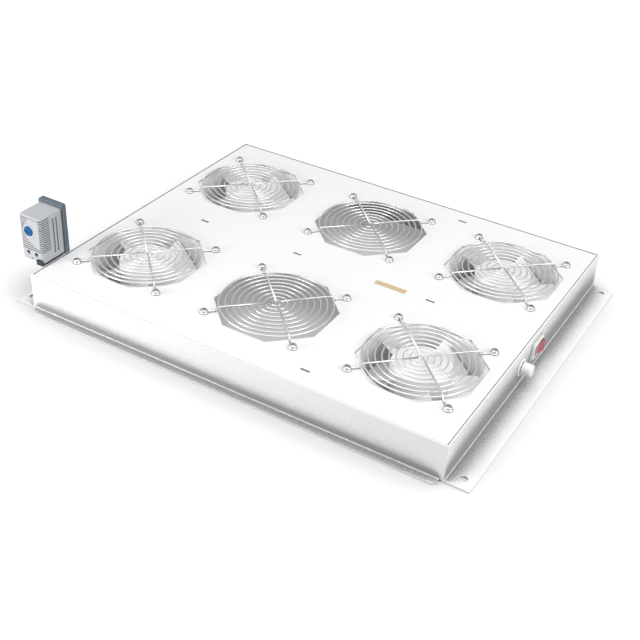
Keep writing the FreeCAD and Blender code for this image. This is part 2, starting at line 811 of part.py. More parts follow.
# switch
def switch_body():
    """A snap-in housing with a flat bezel outside the wall and a window for the rocker."""
    body = new_body("switch_body")
    bezel = new_sketch(body, "bezel", "YZ_Plane", half_width)
    rectangle(bezel, s.switch_y - s.bezel_length / 2, s.switch_y + s.bezel_length / 2,
              s.switch_z - s.bezel_height / 2, s.switch_z + s.bezel_height / 2)
    pad(body, bezel, s.bezel_thickness)
    face = (half_width + s.bezel_thickness).value
    round_edges(body, s.bezel_thickness / 2, lambda edge, ends: all(abs(point.x - face) < 0.01 for point in ends),
                "Chamfer")
    housing = new_sketch(body, "housing", "YZ_Plane", half_width)
    rectangle(housing, s.switch_y - s.switch_length / 2, s.switch_y + s.switch_length / 2,
              s.switch_z - s.switch_height / 2, s.switch_z + s.switch_height / 2)
    pad(body, housing, s.switch_depth, reverse=True)
    window = new_sketch(body, "window", "YZ_Plane", half_width + s.bezel_thickness)
    rectangle(window, s.switch_y - s.window_length / 2, s.switch_y + s.window_length / 2,
              s.switch_z - s.window_height / 2, s.switch_z + s.window_height / 2)
    pocket(body, window, s.window_depth)
    reach = s.window_height / 2 + s.pivot_reach + s.pivot_play
    sockets = new_sketch(body, "pivot_sockets", lift=s.switch_z + reach)
    polygon(sockets, BOLT_SIDES, s.pivot_width + s.pivot_play * 2, half_width - s.pivot_depth, s.switch_y)
    pocket(body, sockets, reach * 2)
    return body


def switch_rocker():
    """A dished rocker on two short pivots, at rest with its rear end raised."""
    body = new_body("switch_rocker")
    level = s.pivot_depth + s.bezel_thickness
    end, middle = level + s.rocker_rise, level + s.rocker_dip
    half = s.window_length / 2 - s.rocker_gap
    crown, foot = half - s.rocker_crown_inset, half - s.rocker_foot_inset
    height = s.window_height / 2 - s.rocker_gap
    shape = new_sketch(body, "shape", lift=-height)
    outline(shape, ((-s.rocker_foot, -foot), (0, -half), (end, -crown), (middle, 0), (end, crown),
                    (0, half), (-s.rocker_foot, foot)))
    pad(body, shape, height * 2)
    reach = s.window_height / 2 + s.pivot_reach
    prism_pad(body, "pins", BOLT_SIDES, inscribed(BOLT_SIDES, s.pivot_width), -reach, reach)
    return move(body, half_width - s.pivot_depth, s.switch_y, s.switch_z, (0, 0, 1), -s.rocker_tilt)


def switch_tabs():
    back = SIZES["tray_width"] / 2 - SIZES["switch_depth"]
    length, width, thickness = SIZES["tab_length"], SIZES["tab_width"], SIZES["tab_thickness"]
    return [Part.makeBox(length, thickness, width,
                         Vector(back - length, SIZES["switch_y"] + SIZES["tab_pitch"] * step - thickness / 2,
                                SIZES["switch_z"] - width / 2)) for step in (-1, 0, 1)]


# fuse holder, drawn along its own +Z, which points out of the right wall
def to_right_wall(body):
    return move(body, half_width, s.fuse_y, s.fuse_z, (0, 1, 0), 90)


def fuse_holder():
    body = new_body("fuse_holder")
    prism_pad(body, "flange", DUCT_SIDES, s.fuse_flange, as_dim(0), s.fuse_flange_thickness)
    chamfer_top(body, s.fuse_flange_thickness, s.fuse_flange_thickness / 2)
    prism_pad(body, "barrel", TURNED_SIDES, fuse_barrel_flats, fuse_bottom - s.fuse_floor, as_dim(0))
    prism_cut(body, "bore", TURNED_SIDES, s.fuse_bore, fuse_bottom, s.fuse_flange_thickness)
    return to_right_wall(body)


def fuse_cap():
    """The bayonet cap: a grip with a driver slot, on a stem that holds the fuse's end."""
    body = new_body("fuse_cap")
    base = s.fuse_flange_thickness + s.turning_gap
    top = base + s.fuse_cap_length
    stem_flats = inscribed(TURNED_SIDES, s.fuse_bore - s.bearing_play * 2)
    prism_pad(body, "grip", DUCT_SIDES, s.fuse_cap_width, base, top)
    chamfer_top(body, top, s.fuse_cap_slot)
    prism_pad(body, "stem", TURNED_SIDES, stem_flats, stem_end, base)
    prism_cut(body, "socket", TURNED_SIDES, s.fuse_width + s.bearing_play * 2, stem_end,
              stem_end + s.fuse_socket)
    slot = new_sketch(body, "slot", lift=top)
    slot_half = s.fuse_cap_width / 3
    rectangle(slot, -s.fuse_cap_slot / 2, s.fuse_cap_slot / 2, -slot_half, slot_half)
    pocket(body, slot, s.fuse_cap_slot)
    return to_right_wall(body)


def fuse_link():
    body = new_body("fuse_link")
    prism_pad(body, "section", TURNED_SIDES, inscribed(TURNED_SIDES, s.fuse_width), fuse_bottom, fuse_top)
    return to_right_wall(body)


def ring_nut(label, flats, height, sides, bore):
    """A hexagon nut drawn behind the wall, with the wall's inner face as its seat."""
    body = new_body(label)
    prism_pad(body, "block", 6, flats, -s.sheet - height, -s.sheet)
    prism_cut(body, "bore", sides, bore + s.bearing_play * 2, -s.sheet - height, -s.sheet)
    return body


def fuse_tabs():
    end = (half_width + fuse_bottom - s.fuse_floor).value
    length, width, thickness = SIZES["tab_length"], SIZES["tab_width"], SIZES["tab_thickness"]
    return [Part.makeBox(length, width, thickness,
                         Vector(end - length, SIZES["fuse_y"] - width / 2,
                                SIZES["fuse_z"] + SIZES["fuse_barrel"] / 4 * side - thickness / 2))
            for side in (-1, 1)]


# thermostat, drawn with its front face at y 0, its foot at z 0 and its middle at x 0
def to_bracket(body):
    return move(body, thermo_x, thermo_y, thermo_z)


def thermostat_housing():
    body = new_body("thermostat_housing")
    half, corner = s.thermo_width / 2, s.thermo_corner
    block = new_sketch(body, "block")
    outline(block, ((corner - half, 0), (half - corner, 0), (half, corner), (half, s.thermo_depth),
                    (-half, s.thermo_depth), (-half, corner)))
    pad(body, block, s.thermo_height)
    top, back = SIZES["thermo_height"], SIZES["thermo_depth"]
    round_edges(body, s.thermo_edge, lambda edge, ends: all(abs(point.z - top) < 0.01 for point in ends)
                and any(point.y < back - 0.01 for point in ends), "Chamfer")
    cut_ribs(body)

    dial_x = s.dial_across - half
    recess = new_sketch(body, "dial_recess", "XZ_Plane")
    polygon(recess, DUCT_SIDES, s.dial_width + s.turning_gap * 2, dial_x, s.dial_up)
    pocket(body, recess, s.dial_height / 2)
    spindle_hole = new_sketch(body, "spindle_hole", "XZ_Plane")
    polygon(spindle_hole, BOLT_SIDES, s.dial_shaft + s.bearing_play * 2, dial_x, s.dial_up)
    pocket(body, spindle_hole, s.dial_shaft_length + s.turning_gap)
    terminals = new_sketch(body, "terminal_holes", "XZ_Plane")
    for side in (-1, 1):
        polygon(terminals, TURNED_SIDES, s.terminal_hole, s.terminal_pitch / 2 * side, s.terminal_up)
    pocket(body, terminals, s.terminal_hole_depth)
    notch = new_sketch(body, "notch", "XZ_Plane")
    rectangle(notch, -s.notch_width / 2, s.notch_width / 2, -1, s.notch_height)
    pocket(body, notch, s.thermo_depth / 3)
    for side, turn in ((1, False), (-1, True)):
        vents = new_sketch(body, "vents_right" if side > 0 else "vents_left", "YZ_Plane", half * side)
        for front in (s.vent_start, s.vent_start + s.vent_pitch):
            rectangle(vents, front, front + s.vent_width,
                      (s.thermo_height - s.vent_height) / 2, (s.thermo_height + s.vent_height) / 2)
        pocket(body, vents, s.vent_depth, reverse=turn)
    return to_bracket(body)


def cut_ribs(body):
    """Rows of grooves across the front and round both front corners, with the ribs left between them."""
    half, reach, deep = s.thermo_width / 2, s.rib_reach, s.rib_depth
    bend = s.thermo_corner + deep * (math.sqrt(2) - 1)
    groove = new_sketch(body, "groove", lift=s.rib_start)
    outline(groove, ((-half - 1, -1), (half + 1, -1), (half + 1, reach), (half - deep, reach),
                     (half - deep, bend), (half - bend, deep), (bend - half, deep), (deep - half, bend),
                     (deep - half, reach), (-half - 1, reach)))
    cut = pocket(body, groove, s.rib_cut, reverse=True)
    rows = body.newObject("PartDesign::LinearPattern", "groove_rows")
    rows.Originals = [cut]
    rows.Direction = origin_axis(body, "Z_Axis")
    rows.setExpression("Length", (s.rib_pitch * (s.rib_count - 1)).text)
    rows.setExpression("Occurrences", s.rib_count.text)
    body.Tip = rows
    doc.recompute()


def thermostat_back():
    """The darker rear cover, a little larger than the housing."""
    body = new_body("thermostat_back")
    half = s.thermo_width / 2 + s.back_margin
    plate = new_sketch(body, "plate", "XZ_Plane", -s.thermo_depth)
    rectangle(plate, -half, half, 0, s.thermo_height + s.back_rise)
    pad(body, plate, s.back_thickness, reverse=True)
    thickness = SIZES["back_thickness"]
    round_edges(body, s.thermo_corner, lambda edge, ends: abs(edge.Length - thickness) < 0.01
                and all(point.z > 1 for point in ends))
    return to_bracket(body)


def thermostat_dial():
    """A flat setting dial with a driver slot, on a short spindle; its axis is its own Z."""
    body = new_body("thermostat_dial")
    rear = s.turning_gap - s.dial_height / 2
    face = rear + s.dial_height
    prism_pad(body, "disc", DUCT_SIDES, inscribed(DUCT_SIDES, s.dial_width), rear, face)
    chamfer_top(body, face, s.dial_height / 4)
    prism_pad(body, "spindle", BOLT_SIDES, inscribed(BOLT_SIDES, s.dial_shaft), -s.dial_shaft_length, rear)
    slot = new_sketch(body, "slot", lift=face)
    rectangle(slot, -s.dial_width / 3, s.dial_width / 3, -s.fuse_cap_slot / 2, s.fuse_cap_slot / 2)
    pocket(body, slot, s.dial_height / 3)
    return move(body, thermo_x + s.dial_across - s.thermo_width / 2, thermo_y, thermo_z + s.dial_up,
                (1, 0, 0), 90)


def terminal_screws():
    """The two clamp screws at the bottom of the terminal holes."""
    depth = SIZES["terminal_hole_depth"]
    solids = []
    for side in (-1, 1):
        base = Vector((thermo_x + s.terminal_pitch / 2 * side).value, thermo_y.value + depth,
                      (thermo_z + s.terminal_up).value)
        solids.append(prism(TURNED_SIDES, SIZES["terminal_screw"], 0, depth / 3, base, (0, -1, 0)))
    return solids


def thermostat_bracket():
    """A folded strip: a leg on the tray's left wall, a shelf, a hook in front and an upright behind."""
    body = new_body("thermostat_bracket")
    shelf_under = thermo_z - s.bracket_sheet
    rear = thermo_y + s.thermo_depth + s.back_thickness
    left = thermo_x - s.thermo_width / 2
    hook_front = thermo_y - s.bracket_hook_gap - s.bracket_sheet
    leg = new_sketch(body, "leg", lift=shelf_under - s.bracket_leg)
    rectangle(leg, -half_width - s.bracket_sheet, -half_width,
              bracket_y - s.bracket_leg_width / 2, bracket_y + s.bracket_leg_width / 2)
    pad(body, leg, s.bracket_leg + s.bracket_sheet)
    shelf = new_sketch(body, "shelf", lift=shelf_under)
    strip_left = -half_width - s.bracket_hook * 2
    outline(shelf, ((strip_left, hook_front), (-half_width, hook_front), (-half_width, rear + s.bracket_sheet),
                    (left, rear + s.bracket_sheet), (left, thermo_y + s.bracket_setback),
                    (strip_left, thermo_y + s.bracket_setback)))
    pad(body, shelf, s.bracket_sheet)
    hook = new_sketch(body, "hook", lift=shelf_under)
    rectangle(hook, strip_left, -half_width, hook_front, hook_front + s.bracket_sheet)
    pad(body, hook, s.bracket_sheet + s.bracket_hook)
    upright = new_sketch(body, "upright", lift=shelf_under)
    rectangle(upright, thermo_x - s.bracket_upright_width / 2, thermo_x + s.bracket_upright_width / 2,
              rear, rear + s.bracket_sheet)
    pad(body, upright, s.bracket_sheet + s.bracket_upright)
    holes = new_sketch(body, "wall_holes", "YZ_Plane", -half_width + s.bracket_sheet)
    for side in (-1, 1):
        polygon(holes, BOLT_SIDES, s.fixing_hole, bracket_y + s.bracket_hole_pitch / 2 * side, bracket_hole_z)
    pocket(body, holes, s.bracket_sheet * 4)
    return body


def bracket_screws():
    seat_x = (-half_width - s.bracket_sheet).value
    solids = []
    for side in (-1, 1):
        y = (bracket_y + s.bracket_hole_pitch / 2 * side).value
        solids.append(pan_screw(Vector(seat_x, y, bracket_hole_z.value), (-1, 0, 0), SIZES["screw_length"]))
    return solids


def bracket_nuts():
    seat_x = (-half_width + s.sheet).value
    solids = []
    for side in (-1, 1):
        y = (bracket_y + s.bracket_hole_pitch / 2 * side).value
        solids.append(hex_nut(Vector(seat_x, y, bracket_hole_z.value), (1, 0, 0)))
    return solids


# back wall fittings, drawn along their own +Z, which points out of the back wall
def to_back_wall(body, x, z):
    return move(body, x, half_depth, z, (1, 0, 0), -90)


def cable_gland():
    body = new_body("cable_gland")
    end = s.gland_hex + s.gland_dome
    prism_pad(body, "hexagon", 6, s.gland_flats, as_dim(0), s.gland_hex)
    prism_pad(body, "dome", TURNED_SIDES, s.gland_dome_width, s.gland_hex, end)
    chamfer_top(body, end, (s.gland_dome_width - s.gland_bore) / 4)
    prism_pad(body, "thread", TURNED_SIDES, gland_thread_flats, -s.gland_inside, as_dim(0))
    prism_cut(body, "bore", TURNED_SIDES, s.gland_bore, -s.gland_inside, end)
    return to_back_wall(body, gland_x, s.gland_z)


def earth_stud():
    body = new_body("earth_stud")
    prism_pad(body, "section", BOLT_SIDES, stud_flats, -s.sheet - s.stud_length, -s.sheet)
    return to_back_wall(body, stud_x, s.gland_z)


def label_strip():
    body = new_body("label_strip")
    strip = new_sketch(body, "strip", lift=s.tray_height)
    middle = column_pitch / 2 - s.label_shift
    rectangle(strip, middle - s.label_length / 2, middle + s.label_length / 2,
              -s.label_width / 2, s.label_width / 2)
    pad(body, strip, s.label_thickness)
    return body


def build():
    """All sub-parts, each a document object whose label is its node's name."""
    nodes = [tray_frame(), top_plate()]
    for key in FANS:
        x, y = hole_centre(key)
        for kind in (fan_frame, fan_rotor, fan_shaft, fan_stator):
            nodes.append(move(kind(f"{kind.__name__}_{key}"), x, y, fan_base))
        nodes.append(group(f"fan_bearings_{key}", fan_bearings(x, y)))
    nodes.append(group("fan_terminals", [blade for key in FANS for blade in fan_spades(*hole_centre(key))]))
    guard = guard_shape()
    for key in HOLES:
        x, y = hole_centre(key)
        nodes.append(move(group(f"finger_guard_{key}", guard.Solids), x, y, s.tray_height, (0, 0, 1), 45))
    nodes += [group("guard_screws", guard_screws()), group("guard_nuts", guard_nuts())]
    nodes += [switch_body(), switch_rocker(), group("switch_terminals", switch_tabs())]
    fuse_nut = ring_nut("fuse_nut", s.fuse_nut_flats, s.fuse_nut_height, TURNED_SIDES, fuse_barrel_flats)
    nodes += [fuse_holder(), fuse_cap(), fuse_link(), group("fuse_terminals", fuse_tabs()),
              to_right_wall(fuse_nut)]
    nodes += [thermostat_housing(), thermostat_back(), thermostat_dial(),
              group("terminal_screws", terminal_screws()), thermostat_bracket(),
              group("bracket_screws", bracket_screws()), group("bracket_nuts", bracket_nuts())]
    locknut = ring_nut("gland_locknut", s.gland_flats, s.locknut_height, TURNED_SIDES, gland_thread_flats)
    earth_nut = ring_nut("earth_nut", s.stud_nut_flats, s.stud_nut_height, BOLT_SIDES, stud_flats)
    nodes += [cable_gland(), earth_stud(), to_back_wall(locknut, gland_x, s.gland_z),
              to_back_wall(earth_nut, stud_x, s.gland_z)]
    nodes.append(label_strip())
    return nodes


def check(nodes):
    doc.recompute()
    for item in doc.Objects:
        if "Invalid" in item.State or "Error" in item.State:
            raise RuntimeError(f"{item.Name} failed: {item.State}")
    for node in nodes:
        if node.Shape.isNull() or not node.Shape.isValid() or not node.Shape.Solids:
            raise RuntimeError(f"{node.Label} has no valid shape")


parts = build()
check(parts)
os.makedirs("parts", exist_ok=True)
for part in parts:
    part.Shape.exportStep(f"parts/{part.Label}.step")
print(f"{len(parts)} nodes, {sum(len(part.Shape.Solids) for part in parts)} solids")
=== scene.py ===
import json
import math

import bmesh
import bpy
from mathutils import Matrix, Vector


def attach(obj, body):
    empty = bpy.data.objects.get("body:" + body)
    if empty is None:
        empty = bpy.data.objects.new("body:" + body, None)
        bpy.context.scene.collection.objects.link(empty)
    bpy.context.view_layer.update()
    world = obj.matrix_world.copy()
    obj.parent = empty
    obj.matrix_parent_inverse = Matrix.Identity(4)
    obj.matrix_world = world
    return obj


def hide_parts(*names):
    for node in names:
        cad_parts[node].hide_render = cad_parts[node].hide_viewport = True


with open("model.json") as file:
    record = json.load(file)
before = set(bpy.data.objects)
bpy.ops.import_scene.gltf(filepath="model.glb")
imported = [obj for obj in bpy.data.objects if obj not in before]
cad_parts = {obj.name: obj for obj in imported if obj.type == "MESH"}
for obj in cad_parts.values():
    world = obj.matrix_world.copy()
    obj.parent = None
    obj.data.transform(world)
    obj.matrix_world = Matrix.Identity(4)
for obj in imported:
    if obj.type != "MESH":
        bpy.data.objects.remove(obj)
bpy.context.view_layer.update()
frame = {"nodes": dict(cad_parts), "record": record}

# Sizes and places are in millimetres. Those of the lamps and the camera are in metres.
MM = 0.001
CORNERS = ((-1, -1), (1, -1), (1, 1), (-1, 1))

# plate openings and wire guards
HOLES = {"front_left": (-165, -99), "front_middle": (0, -99), "front_right": (165, -99),
         "back_left": (-165, 99), "back_middle": (0, 99), "back_right": (165, 99)}
PLATE_TOP = 41.0
FIXING_PITCH = 104.8
RING_FIRST, RING_PITCH, RING_COUNT, RING_WIRE, RING_LIFT = 5.2, 6.65, 9, 1.6, 2.4
RING_STEPS, RING_MORE_STEPS = 24, 8
ROD_WIRE, ROD_STEP = 1.8, 3.0
ROD_SHOULDER, ROD_BEND, ROD_HEEL, ROD_EASE = 2.0, 0.6, 0.8, 0.3
EYE_OUT = FIXING_PITCH / math.sqrt(2)
EYE_WIDTH, EYE_NECK, EYE_STEPS = 9.4, 1.4, 20

# guard screws: (radius, height) of the head over its seat and of the shank under it
SCREW_HEAD = ((0, 0), (3.9, 0), (4.0, 0.2), (4.0, 1.0), (3.8, 1.6), (3.3, 2.1), (2.4, 2.45),
              (1.2, 2.58), (0, 2.6))
SCREW_SHANK = ((0, -12), (1.7, -12), (2.0, -11.6), (2.0, 0.1))
CROSS_LENGTH, CROSS_WIDTH, CROSS_FLOOR, CROSS_TOP = 3.8, 0.7, 1.2, 3.0
SCREW_TURN = 2.4

# fan frames, with heights from the fan's base
FANS = ("front_left", "front_right", "back_left", "back_right")
FAN_BASE, FAN_DEPTH, FAN_FLANGE = 1.5, 38.0, 4.5
FAN_HALF, FAN_CORNER, FAN_HOLE, HOLE_OVERRUN = 59.5, 5.0, 2.25, 1.0
DUCT_RADIUS, BARREL_WALL, DUCT_LIP, LIP_EASE, DUCT_STEPS = 57.5, 1.5, 1.0, 0.3, 72
STRUT_WIDTH, STRUT_THICKNESS, STRUT_ROUND = 7.0, 4.0, 0.7
STRUT_INTO_SEAT, STRUT_INTO_DUCT = 3.0, 0.6
SEAT_RADIUS, SEAT_ROUND, SEAT_EASE = 31.0, 1.0, 0.3
TUBE_RADIUS, TUBE_BORE, TUBE_FLOOR, TUBE_TOP = 7.0, 5.1, 2.0, 29.6

# rotors, with heights from the fan's base; a station is (share of the blade's length, share of its chord)
HUB_RADIUS, HUB_LOW, HUB_TOP, HUB_WALL = 30.4, 6.5, 36.5, 1.6
HUB_CROWN, HUB_ROUND, HUB_EASE = 2.4, 1.8, 0.25
BOSS_RADIUS, BOSS_BORE, BOSS_DEPTH, BOSS_CAP = 5.8, 3.1, 4.0, 1.2
BLADES, BLADE_TIP, BLADE_MIDDLE, BLADE_THICKNESS = 5, 55.7, 20.5, 1.8
BLADE_EDGE, BLADE_SINK, BLADE_STEPS = 0.35, 0.8, 8
ROOT_CHORD, TIP_CHORD, BLADE_SLOPE, BLADE_BOW = 21.0, 37.0, 0.66, 0.1
BLADE_STATIONS = ((0.0, 1.0), (0.25, 1.0), (0.5, 1.0), (0.75, 1.0), (0.9, 0.99), (0.97, 0.95), (1.0, 0.88))

# right wall: the switch's rim is (growth round the window, height over the bezel)
SWITCH_Y, SWITCH_Z, BEZEL_FACE = 12.0, 23.5, 242.0
WINDOW_LENGTH, WINDOW_HEIGHT, WINDOW_CORNER = 22.0, 14.0, 0.6
SWITCH_RIM = ((1.7, -0.1), (1.6, 1.0), (1.2, 1.3), (0.5, 1.3), (0.15, 1.0), (0.1, -0.1))
# painted shadow in the groove along the plate's right edge: the dark bead's x, height, half length and
# radius
BEAD_X, BEAD_Z, BEAD_END, BEAD_RADIUS = 237.85, 40.15, 195.0, 0.6

# fuse holder's cap: the grip is (radius, height over the wall's face)
WALL_X, FUSE_Y, FUSE_Z = 240.0, -27.0, 21.5
FUSE_GRIP = ((0, -5.1), (4.2, -5.1), (4.2, 1.9), (6.2, 1.9), (6.7, 2.4), (6.7, 10.2), (6.5, 11.3),
             (5.9, 12.2), (4.9, 12.75), (3.8, 12.9), (0, 12.9))
GRIP_SLOT_WIDTH, GRIP_SLOT_LENGTH, GRIP_SLOT_FLOOR, GRIP_SLOT_TOP = 1.5, 8.8, 11.4, 14.0

# thermostat: the label's outline is (distance from the left side, height over the foot)
THERMO_LEFT, THERMO_FRONT, THERMO_FOOT = -269.5, -177.0, 42.8
DIAL_WIDTH, DIAL_ACROSS, DIAL_UP = 11.4, 12.4, 34.6
HALO_START, HALO_END = 0.32, 1.5
TICKS, TICK_SWEEP = 13, 270
TICK_START, TICK_END, LONG_TICK_END, TICK_HALF_WIDTH = 2.0, 3.2, 3.8, 0.17
LABEL_PROUD, LABEL_THICKNESS, PRINT_PROUD, PRINT_THICKNESS = 0.12, 0.3, 0.16, 0.1
LABEL_OUTLINE = ((13, 49.5), (8, 42.5), (4.6, 37), (4.6, 29.5), (9, 25.5), (12.5, 21.6), (17.5, 18.6),
                 (22.5, 16), (26.2, 16), (26.2, 49.5))

# finishes
OCCLUSION_SAMPLES = 12
PATCH_LOW, PATCH_HIGH, GLOSS_SWING, BUMP_STRENGTH = 0.3, 0.7, 0.06, 0.6
# painted shade in narrow seams and grooves: the openness where the shade is full and where it ends, and the
# shade's colour
GROOVE_SHUT, GROOVE_OPEN, GROOVE_SHADE_COLOUR = 0.45, 0.75, (0.02, 0.02, 0.022)
# painted shade towards the tray's inner corners and folds, and painted light on faces that look up: the
# shade's reach, the coat's grain, the shade's speckle, the upward light's shift, and the openness where the
# shade is full and where it ends
CORNER_SHADE_REACH, COAT_GRAIN, CORNER_SHADE_SPECKLE, TOP_LIGHT_SHIFT = 50.0, 1.7, 0.18, 0.21
CORNER_SHADE_FULL, CORNER_SHADE_NONE = 0.945, 1.0

# stage
FLOOR_HALF, FLOOR_LEVEL = 12000.0, -0.2
FLOOR_GLOW, FLOOR_SHADE, FLOOR_SHADE_REACH, FLOOR_SHADE_FULL = 0.68, 0.38, 150.0, 0.7
BRIGHT_SIDE, SKY_DIM, SKY_BRIGHT = (-0.75, 0.05, 0.6), 0.38, 0.62
CAMERA_PLACE, CAMERA_TURN = (0.48315, -0.87521, 0.64950), (55.654, -2.852, 31.030)
CAMERA_LENS, CAMERA_SENSOR, CAMERA_REACH = 60.88, 36.0, 50.0

# each lamp's name, place, target, width, and power in watts
LAMPS = (("top", (-0.1, -0.1, 2.0), (0.0, 0.0, 0.0), 1.6, 15.0),
         ("right", (1.35, -0.1, 0.75), (0.24, 0.0, 0.02), 0.8, 10.5),
         ("front", (-0.55, -0.8, 0.2), (-0.15, -0.2, 0.02), 0.4, 5.0))


# shader nodes
def node_tree(name):
    """A new material, with its nodes, its links and its shader."""
    material = bpy.data.materials.new(name)
    material.use_nodes = True
    nodes = material.node_tree.nodes
    return material, nodes, material.node_tree.links, nodes["Principled BSDF"]


def noise(nodes, links, size, detail=3.0, stretch=(1, 1, 1)):
    """Noise whose grains are about that many millimetres across, in object coordinates."""
    coords = nodes.new("ShaderNodeTexCoord")
    mapping = nodes.new("ShaderNodeMapping")
    mapping.inputs["Scale"].default_value = stretch
    texture = nodes.new("ShaderNodeTexNoise")
    texture.inputs["Scale"].default_value = 1 / (size * MM)
    texture.inputs["Detail"].default_value = detail
    links.new(coords.outputs["Object"], mapping.inputs["Vector"])
    links.new(mapping.outputs["Vector"], texture.inputs["Vector"])
    return texture.outputs["Fac"]


def ramp(nodes, links, source, low, high, first, last, course="LINEAR"):
    """A colour ramp from the first colour to the last, over the source's stretch from low to high."""
    made = nodes.new("ShaderNodeValToRGB")
    made.color_ramp.interpolation = course
    made.color_ramp.elements[0].position = low
    made.color_ramp.elements[1].position = high
    made.color_ramp.elements[0].color = (*first, 1)
    made.color_ramp.elements[1].color = (*last, 1)
    links.new(source, made.inputs["Fac"])
    return made.outputs["Color"]


def map_range(nodes, links, source, low, high, first, last):
    """A value from first to last, over the source's stretch from low to high."""
    made = nodes.new("ShaderNodeMapRange")
    for socket, value in (("From Min", low), ("From Max", high), ("To Min", first), ("To Max", last)):
        made.inputs[socket].default_value = value
    links.new(source, made.inputs["Value"])
    return made.outputs["Result"]


def multiply_add(nodes, links, source, factor, added):
    """The source times the factor, plus what is added."""
    made = nodes.new("ShaderNodeMath")
    made.operation = "MULTIPLY_ADD"
    made.inputs[1].default_value = factor
    links.new(source, made.inputs[0])
    links.new(added, made.inputs[2])
    return made.outputs["Value"]


def openness(nodes, reach, own_faces_only=False):
    """How free a face is of others within reach, in millimetres: 1 where nothing stands near it."""
    made = nodes.new("ShaderNodeAmbientOcclusion")
    made.samples = OCCLUSION_SAMPLES
    made.only_local = own_faces_only
    made.inputs["Distance"].default_value = reach * MM
    return made.outputs["AO"]


# materials
def shade(colour, share):
    """The colour, darker or lighter by that share."""
    return tuple(min(1.0, channel * share) for channel in colour)


def surface(name, colour, roughness, metallic=0.0, spread=0.06, patch=18.0, grain=0.5, bump=0.02,
            stretch=(1, 1, 1), coat=0.0, specular=0.5):
    """A surface with broad patches of tone, fine grain in its height, and uneven gloss."""
    material, nodes, links, shader = node_tree(name)
    patches = noise(nodes, links, patch, stretch=stretch)
    darker, lighter = shade(colour, 1 - spread), shade(colour, 1 + spread / 2)
    tone = ramp(nodes, links, patches, PATCH_LOW, PATCH_HIGH, darker, lighter)
    links.new(tone, shader.inputs["Base Color"])
    grains = noise(nodes, links, grain, 4.0, stretch)
    height = nodes.new("ShaderNodeBump")
    height.inputs["Strength"].default_value = BUMP_STRENGTH
    height.inputs["Distance"].default_value = bump * MM
    links.new(grains, height.inputs["Height"])
    links.new(height.outputs["Normal"], shader.inputs["Normal"])
    smoothest, roughest = max(0.02, roughness - GLOSS_SWING), min(1.0, roughness + GLOSS_SWING)
    links.new(map_range(nodes, links, grains, 0.0, 1.0, smoothest, roughest), shader.inputs["Roughness"])
    shader.inputs["Metallic"].default_value = metallic
    shader.inputs["Coat Weight"].default_value = coat
    shader.inputs["Specular IOR Level"].default_value = specular
    return material


def paint_seam_shade(material, reach, depth=0.85):
    """Paint shade into the narrow seams and grooves, where another face stands within reach."""
    nodes, links = material.node_tree.nodes, material.node_tree.links
    target = nodes["Principled BSDF"].inputs["Base Color"]
    before = target.links[0].from_socket
    mix = nodes.new("ShaderNodeMix")
    mix.data_type = "RGBA"
    colours = [socket for socket in mix.inputs if socket.type == "RGBA"]
    colours[1].default_value = (*GROOVE_SHADE_COLOUR, 1)
    # painted shade, full where the seam is shut and none where it is open
    dark = map_range(nodes, links, openness(nodes, reach), GROOVE_SHUT, GROOVE_OPEN, depth, 0.0)
    links.new(dark, mix.inputs["Factor"])
    links.new(before, colours[0])
    links.new([socket for socket in mix.outputs if socket.type == "RGBA"][0], target)
    return material


def powder_coat(name, paint_colour, painted_shade_colour):
    """White powder coat, with painted shade, speckled with its grain, towards inner corners and folds;
    painted light leaves it least shaded where it faces up.
    """
    material = surface(name, paint_colour, 0.5, spread=0.02, patch=60, grain=COAT_GRAIN, bump=0.08)
    nodes, links = material.node_tree.nodes, material.node_tree.links
    coords = nodes.new("ShaderNodeTexCoord")
    facing = nodes.new("ShaderNodeSeparateXYZ")
    links.new(coords.outputs["Normal"], facing.inputs["Vector"])
    # painted shade: how open each face is to the tray's own faces
    corners = openness(nodes, CORNER_SHADE_REACH, own_faces_only=True)
    # painted light: lighter where the face looks up, darker where it looks down
    lifted = multiply_add(nodes, links, facing.outputs["Z"], TOP_LIGHT_SHIFT, corners)
    speckled = multiply_add(nodes, links, noise(nodes, links, COAT_GRAIN, 2.0), CORNER_SHADE_SPECKLE, lifted)
    # from the painted shade's colour to the paint's own colour
    tone = ramp(nodes, links, speckled, CORNER_SHADE_FULL, CORNER_SHADE_NONE, painted_shade_colour, paint_colour, "EASE")
    links.new(tone, nodes["Principled BSDF"].inputs["Base Color"])
    return material


